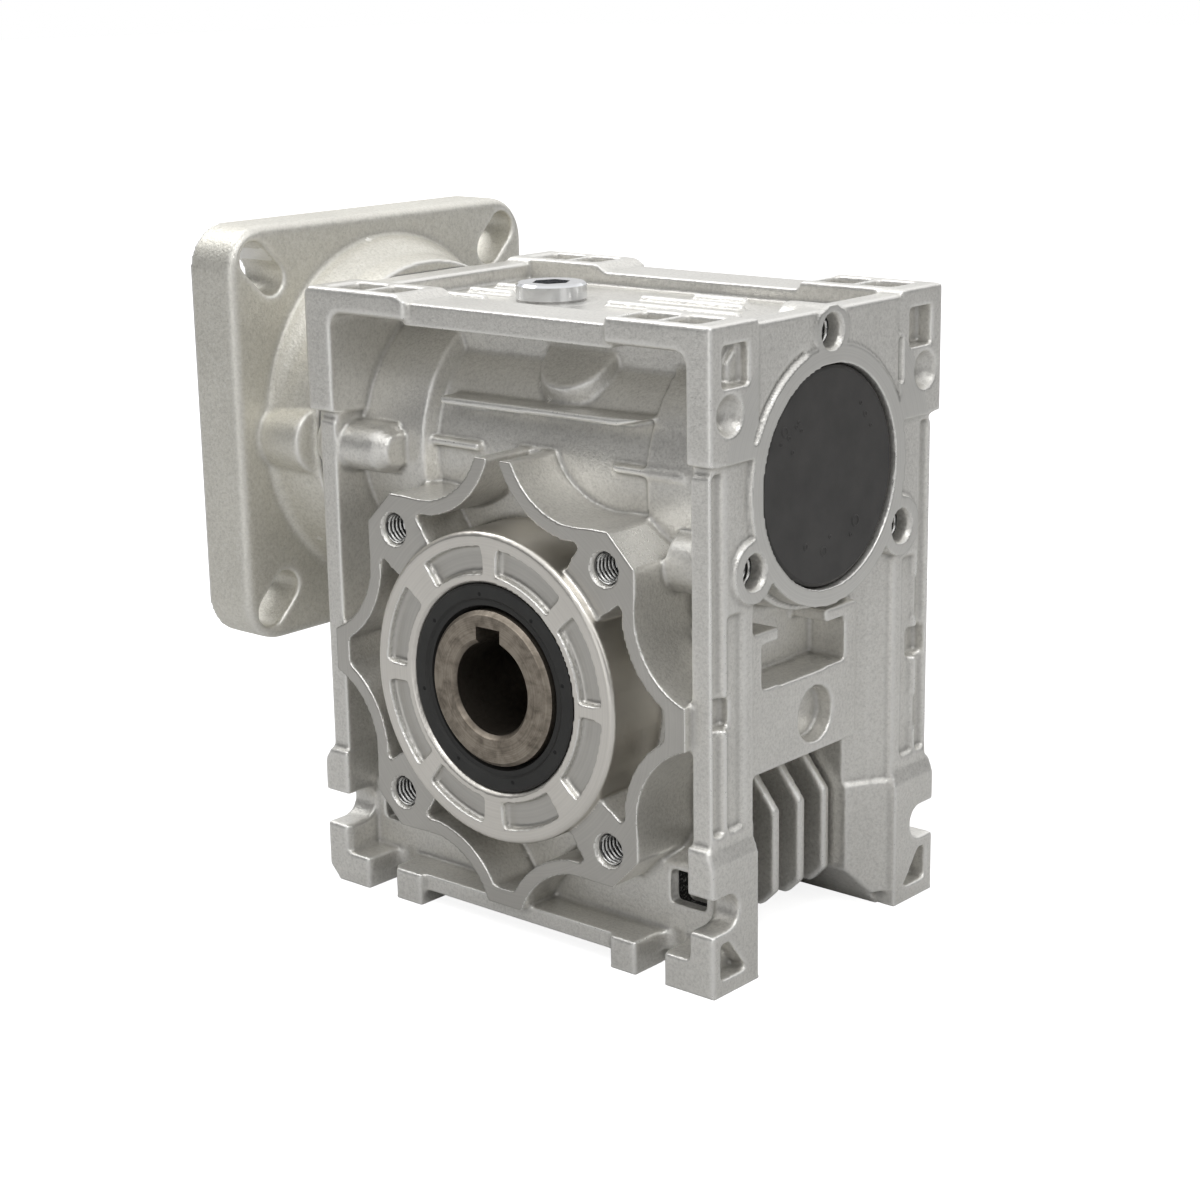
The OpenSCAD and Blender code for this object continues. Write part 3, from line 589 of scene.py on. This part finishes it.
# dark material painted as shade in the thread grooves
M_ROOT_SHADE = cast_metal("thread_root_shade", (0.16, 0.16, 0.155), (0.10, 0.10, 0.10), rough=0.5, grain=0.1)
thread_lining("front_threads", HOLES, 0.75, 9.2, lambda c, u, v, d: (c[0] + u, -36.5 + d, c[1] + v), M_THREAD)
thread_lining("back_threads", HOLES, 0.75, 7.6, lambda c, u, v, d: (c[0] + u, 36.5 - d, c[1] + v), M_THREAD)
thread_lining("cap_end_threads", CAP_HOLES, 3.2, 9.7, lambda c, u, v, d: (50 - d, c[0] + u, c[1] + v), M_THREAD)


# ---------------------------------------------------------------- marks on the seals
def seal_dots(name, side):
    verts, faces = [], []
    for a in (12, 55, 98, 143, 190, 239, 285, 329):
        c = (18.05 * math.cos(math.radians(a)), 18.05 * math.sin(math.radians(a)))
        base = len(verts)
        rings = [(0.42, 0.0), (0.40, 0.06), (0.28, 0.12), (0.0, 0.14)]
        for r, h in rings:
            for j in range(16):
                t = 2 * math.pi * j / 16
                verts.append((c[0] + r * math.cos(t), side * (38.26 + h), c[1] + r * math.sin(t)))
        for i in range(3):
            for j in range(16):
                k = (j + 1) % 16
                faces.append((base + i * 16 + j, base + i * 16 + k, base + (i + 1) * 16 + k, base + (i + 1) * 16 + j))
    o = new_mesh(name, verts, faces, M_DOT)
    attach(o, "gearbox")
    return o


seal_dots("front_seal_dots", -1)
seal_dots("back_seal_dots", 1)


# ---------------------------------------------------------------- moulding marks on the cap
def cap_marks():
    """Small rings and specks left by moulding, strewn over the cap's face."""
    verts, faces = [], []
    spots = [(-13.5, 10.2, 0.8), (-12.2, 8.9, 0.35), (-10.0, 10.6, 0.3), (-8.6, 9.8, 0.3), (-9.3, 11.4, 0.25),
             (-14.6, 8.1, 0.3), (-11.2, 6.2, 0.35), (-7.1, -11.8, 0.55), (-1.6, -13.6, 0.8), (0.4, -11.2, 0.3),
             (8.4, -9.6, 1.0), (6.9, -12.0, 0.3), (11.3, 9.9, 0.45), (9.8, 12.2, 0.3), (13.0, 7.6, 0.25)]
    for y, z, r in spots:
        base = len(verts)
        t = 0.17
        prof = [(r + t, 0.0), (r + t * 0.4, 0.14), (r - t * 0.4, 0.14), (max(r - t, 0.05), 0.0)]
        seg = 14
        for q, h in prof:
            for j in range(seg):
                a = 2 * math.pi * j / seg
                verts.append((49.29 + h, y + q * math.cos(a), WZ + z + q * math.sin(a)))
        for i in range(3):
            for j in range(seg):
                k = (j + 1) % seg
                faces.append((base + i * seg + j, base + i * seg + k, base + (i + 1) * seg + k, base + (i + 1) * seg + j))
    o = new_mesh("cap_marks", verts, faces, M_CAP)
    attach(o, "gearbox")


cap_marks()


# ---------------------------------------------------------------- floor and light
FLOOR_LIFT = 0.85


def floor():
    me = bpy.data.meshes.new("floor")
    s = 6.0
    me.from_pydata([(-s, -s, -0.05), (s, -s, -0.05), (s, s, -0.05), (-s, s, -0.05)], [], [(0, 1, 2, 3)])
    o = bpy.data.objects.new("floor", me)
    scene.collection.objects.link(o)
    n = Nodes("pale_floor")
    c = n.noise(0.004, 2, 0.5)
    n.set(Base_Color=n.mix(c, (0.53, 0.53, 0.53), (0.565, 0.565, 0.565)), Roughness=0.9)
    lp = n.t.nodes.new("ShaderNodeLightPath")
    n.bsdf.inputs["Emission Color"].default_value = (1, 1, 1, 1)
    n.link(n.math("MULTIPLY", lp.outputs["Is Camera Ray"], FLOOR_LIFT), n.bsdf.inputs["Emission Strength"])
    n.bsdf.inputs["Specular IOR Level"].default_value = 0.1
    me.materials.append(n.mat)


floor()


def area(name, loc, target, size, power, color=(1, 1, 1), size_y=None):
    d = bpy.data.lights.new(name, "AREA")
    d.energy = power
    d.color = color
    d.size = size
    if size_y:
        d.shape = "RECTANGLE"
        d.size_y = size_y
    o = bpy.data.objects.new(name, d)
    o.location = loc
    o.rotation_mode = "QUATERNION"
    o.rotation_quaternion = (Vector(target) - Vector(loc)).to_track_quat("-Z", "Y")
    scene.collection.objects.link(o)
    return o


def make_world():
    """White backdrop. Its light grows towards the zenith and is strongest low behind the object."""
    w = bpy.data.worlds.new("studio")
    scene.world = w
    w.use_nodes = True
    t = w.node_tree
    t.nodes.clear()
    out = t.nodes.new("ShaderNodeOutputWorld")
    tc = t.nodes.new("ShaderNodeTexCoord")
    sep = t.nodes.new("ShaderNodeSeparateXYZ")
    t.links.new(tc.outputs["Generated"], sep.inputs[0])

    def ramp(fac, stops):
        r = t.nodes.new("ShaderNodeValToRGB")
        cr = r.color_ramp
        while len(cr.elements) < len(stops):
            cr.elements.new(0.5)
        for e, (p, c) in zip(cr.elements, stops):
            e.position, e.color = p, (c, c, c, 1)
        t.links.new(fac, r.inputs[0])
        return r.outputs[0]

    front = ramp(sep.outputs[2], [(0.0, 0.12), (0.10, 0.15), (0.40, 0.28), (1.0, 0.40)])
    rear = ramp(sep.outputs[2], [(0.0, 1.0), (0.30, 1.2), (0.5, 0.85), (0.8, 0.42), (1.0, 0.40)])
    dot = t.nodes.new("ShaderNodeVectorMath")
    dot.operation = "DOT_PRODUCT"
    t.links.new(tc.outputs["Generated"], dot.inputs[0])
    dot.inputs[1].default_value = (-0.655, 0.756, 0.0)
    side = ramp(dot.outputs["Value"], [(0.22, 0.0), (0.80, 1.0)])
    mix0 = t.nodes.new("ShaderNodeMix")
    mix0.data_type = "RGBA"
    t.links.new(side, mix0.inputs[0])
    t.links.new(front, mix0.inputs[6])
    t.links.new(rear, mix0.inputs[7])
    lit = t.nodes.new("ShaderNodeBackground")
    lit.inputs["Strength"].default_value = WORLD
    t.links.new(mix0.outputs[2], lit.inputs["Color"])
    white = t.nodes.new("ShaderNodeBackground")
    white.inputs["Color"].default_value = (1, 1, 1, 1)
    white.inputs["Strength"].default_value = 1.0
    lp = t.nodes.new("ShaderNodeLightPath")
    mix = t.nodes.new("ShaderNodeMixShader")
    t.links.new(lp.outputs["Is Camera Ray"], mix.inputs[0])
    t.links.new(lit.outputs[0], mix.inputs[1])
    t.links.new(white.outputs[0], mix.inputs[2])
    t.links.new(mix.outputs[0], out.inputs[0])


WORLD = 0.66


def sun(name, direction, strength, angle):
    d = bpy.data.lights.new(name, "SUN")
    d.energy = strength
    d.angle = math.radians(angle)
    o = bpy.data.objects.new(name, d)
    o.rotation_mode = "QUATERNION"
    o.rotation_quaternion = Vector(direction).to_track_quat("Z", "Y")
    scene.collection.objects.link(o)
    return o


make_world()
sun("sky_softbox", (0.05, 0.10, 0.97), 1.65, 120)
area("left_softbox", (-0.56, -0.10, 0.74), (0, 0, 0.03), 0.36, 1.3)
area("front_fill", (0.22, -0.62, 0.08), (0, 0, 0.01), 0.5, 0.6)
area("front_top", (0.35, -0.40, 0.78), (0, 0, 0.02), 0.40, 1.3)
area("right_card", (0.75, -0.10, 0.30), (0, 0, 0.02), 0.35, 0.3)
scene.view_settings.view_transform = "Standard"
scene.view_settings.look = "None"
